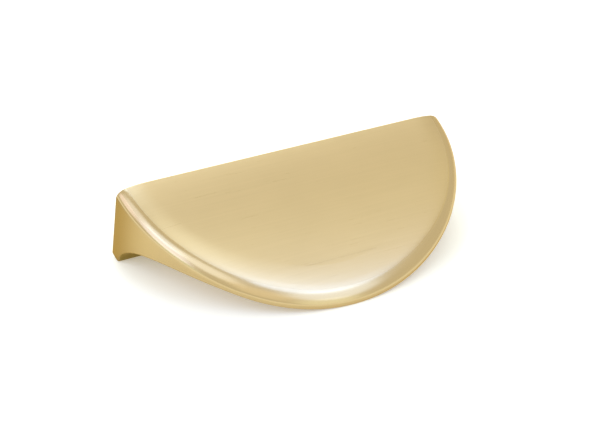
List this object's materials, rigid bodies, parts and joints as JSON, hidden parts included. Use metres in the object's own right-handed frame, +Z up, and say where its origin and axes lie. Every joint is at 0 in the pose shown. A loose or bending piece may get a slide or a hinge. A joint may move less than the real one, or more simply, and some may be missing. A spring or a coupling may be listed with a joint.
{
  "type": "cabinet handle",
  "caption": "Half-moon cabinet handle in satin brass: a curved half-round plate with a rounded rim that runs into a flat back wall through a deep finger cove.",
  "frame": {"origin": "midway between the two screw holes, on the flat back face", "axes": "+X along the straight back edge, +Y out of the back face into the cabinet front, +Z up as mounted"},
  "size_m": [0.1, 0.05, 0.025],
  "materials": {
    "satin_brass": "satin, brushed along the straight edge"
  },
  "bodies": {
    "root": {"handle": "satin_brass"}
  },
  "joints": []
}
